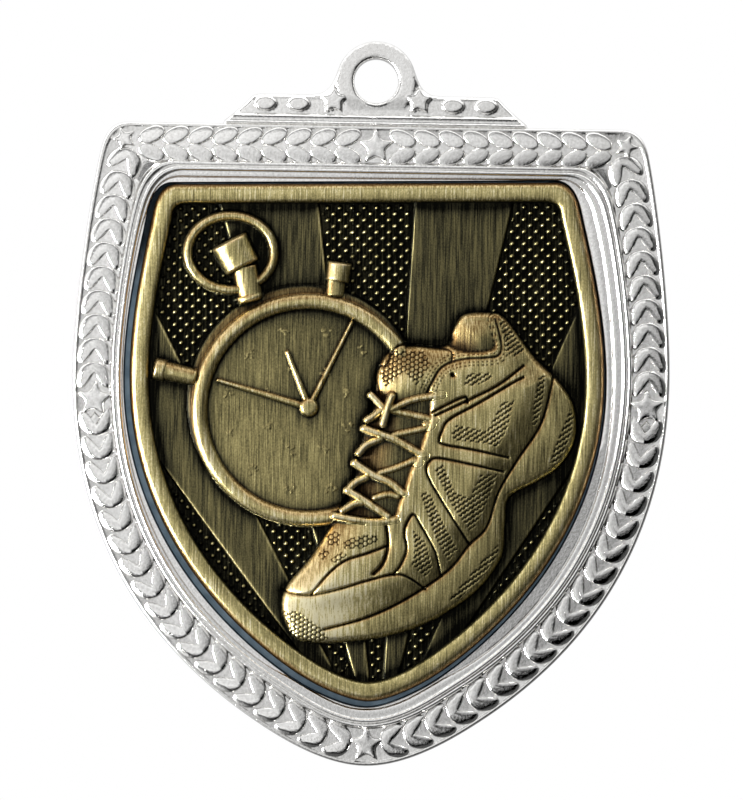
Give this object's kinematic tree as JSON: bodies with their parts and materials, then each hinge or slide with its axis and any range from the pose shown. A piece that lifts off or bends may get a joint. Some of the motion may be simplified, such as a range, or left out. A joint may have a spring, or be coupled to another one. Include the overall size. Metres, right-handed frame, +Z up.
{
  "type": "shield medal with relief insert",
  "caption": "Shield-shaped sports finisher medal: silver wreath holder with a hanging loop and an antique-gold relief insert of a stopwatch and a running shoe.",
  "frame": {"origin": "centre of the loop hole, in the middle of the loop's thickness", "axes": "+Z up as the medal hangs, +Y out of the back, -Y out of the face, +X to the right as the face is seen"},
  "size_m": [0.0676, 0.0045, 0.0821],
  "materials": {
    "silver_plating": "bright silver plating on a zinc die casting",
    "antique_gold": "antique gold, brushed up and down, dark in the recesses",
    "adhesive": "matt"
  },
  "bodies": {
    "root": {"holder": "silver_plating", "insert": "antique_gold", "adhesive_pad": "adhesive"}
  },
  "joints": []
}
